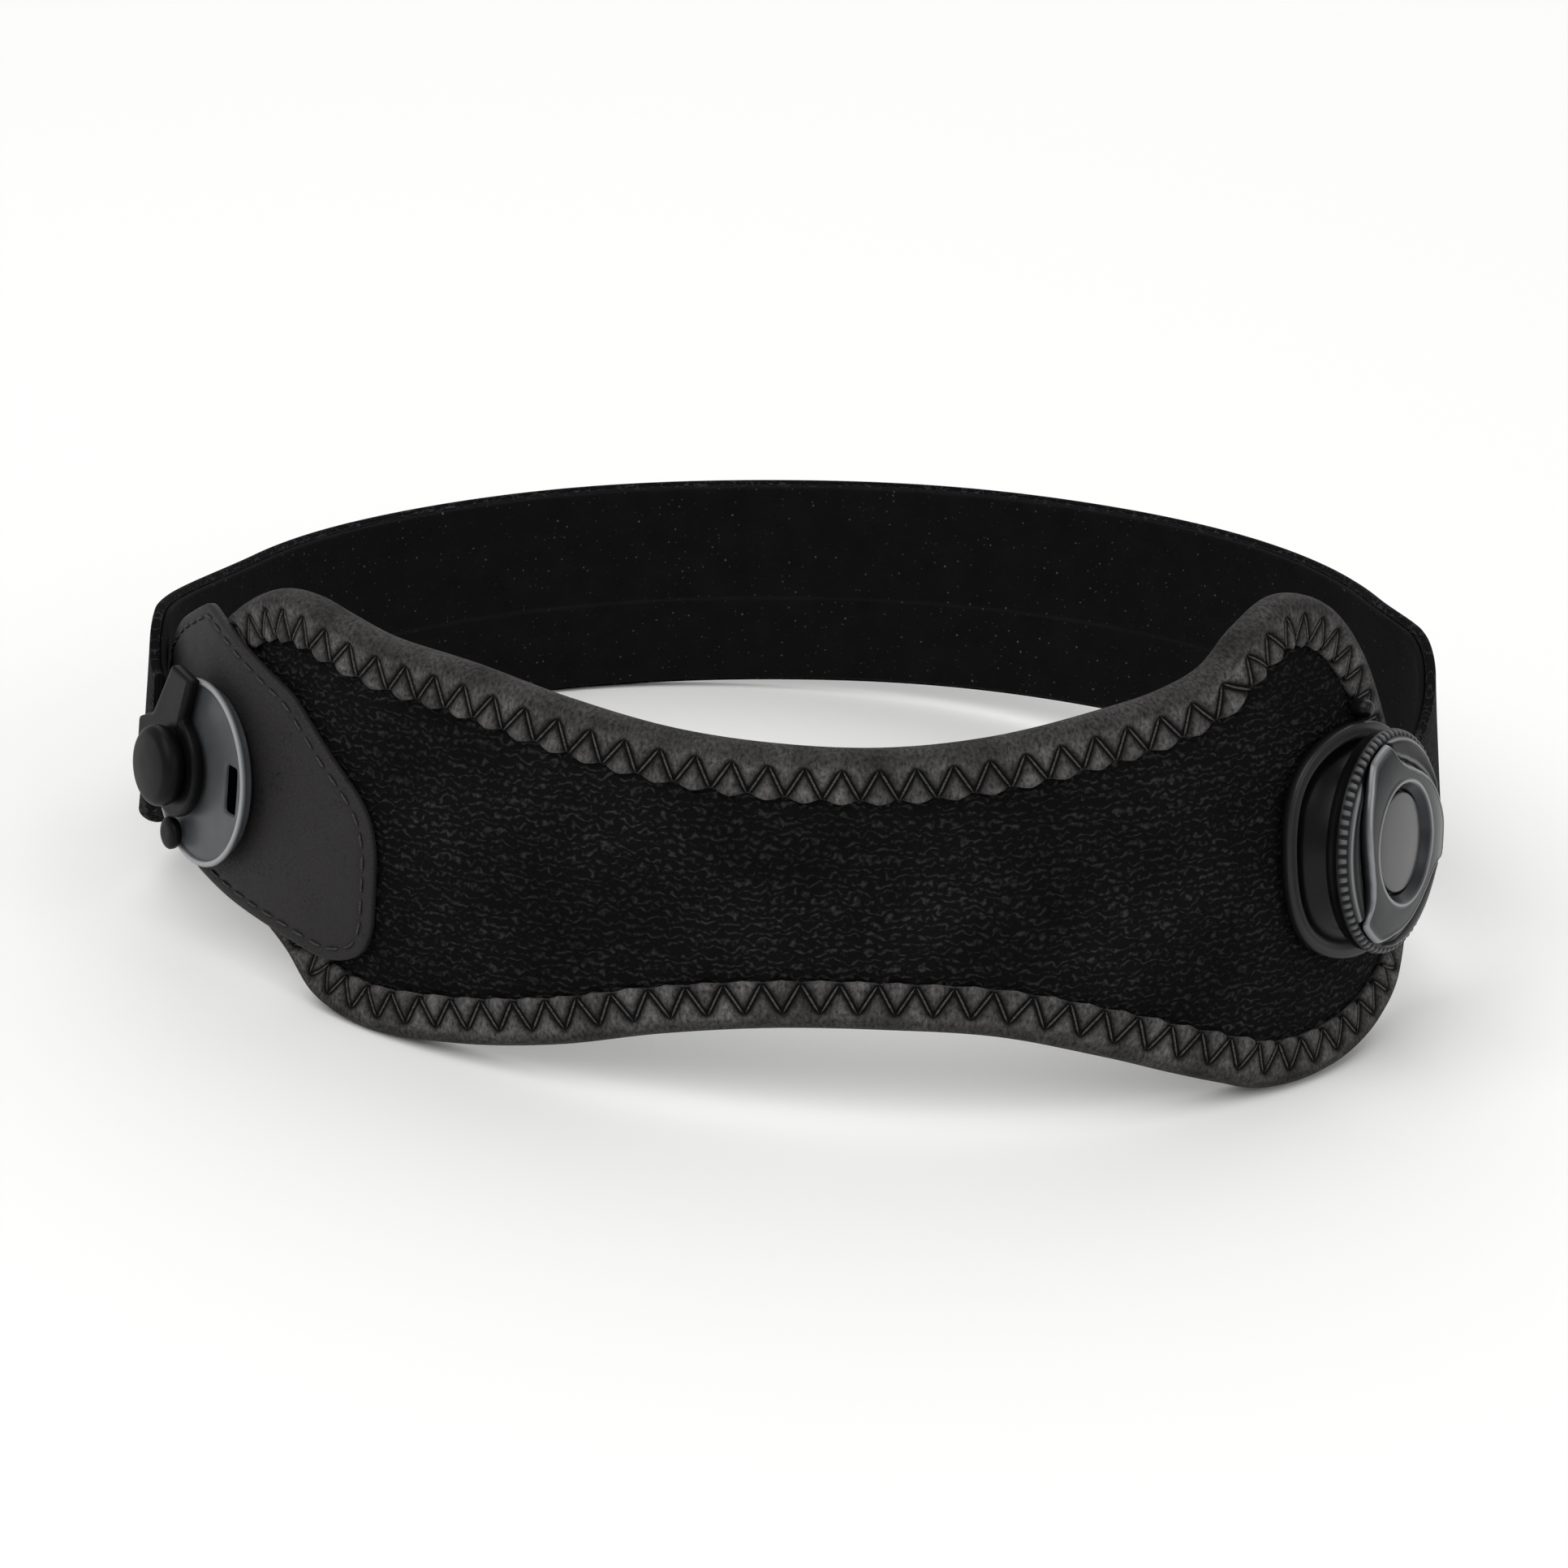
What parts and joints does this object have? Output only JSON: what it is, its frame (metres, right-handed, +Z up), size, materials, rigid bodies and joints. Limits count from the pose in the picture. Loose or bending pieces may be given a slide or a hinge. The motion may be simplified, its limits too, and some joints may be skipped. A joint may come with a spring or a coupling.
{
  "type": "patella strap",
  "caption": "Patella strap: a knit front pad with a bound edge, closed round the leg by a flat two-ply strap that hooks onto a stud and is tightened by a turning dial.",
  "frame": {"origin": "under the middle of the strap's box, on the surface it rests on", "axes": "+X from the hook buckle towards the dial, +Y from the front pad towards the back of the strap, +Z up, along the leg"},
  "size_m": [0.1942, 0.1544, 0.0687],
  "materials": {
    "pad_knit": "matte ribbed knit",
    "edge_tape": "matte woven tape",
    "strap_web": "matte ribbed elastic",
    "strap_lining": "smooth brushed lining",
    "patch_leather": "smooth matte synthetic leather",
    "buckle_grey": "satin",
    "hook_black": "semi-gloss",
    "dial_black": "semi-matte",
    "dial_satin": "satin dark grey"
  },
  "bodies": {
    "strap": {"front_pad": "pad_knit", "pad_binding": "edge_tape", "strap_outer": "strap_web", "strap_lining": "strap_lining", "buckle_patch": "patch_leather", "buckle_disc": "buckle_grey", "hook_plate": "hook_black", "buckle_stud": "hook_black", "latch_tab": "hook_black", "dial_base": "dial_black", "cable_guide_upper": "dial_black", "cable_guide_lower": "dial_black"},
    "spindle": {"dial_spindle": "dial_black"},
    "knob": {"dial_grip_ring": "dial_black", "dial_cap": "dial_satin", "dial_face": "dial_satin"}
  },
  "joints": [
    {"name": "dial_turn", "type": "hinge", "parent": "strap", "child": "spindle", "pos_m": [0.07987, -0.03443, 0.03236], "axis": [0.8993, -0.3913, 0.1954], "continuous": true},
    {"name": "dial_pull", "type": "slide", "parent": "spindle", "child": "knob", "axis": [0.8993, -0.3913, 0.1954], "range_m": [0, 0.0015]}
  ]
}
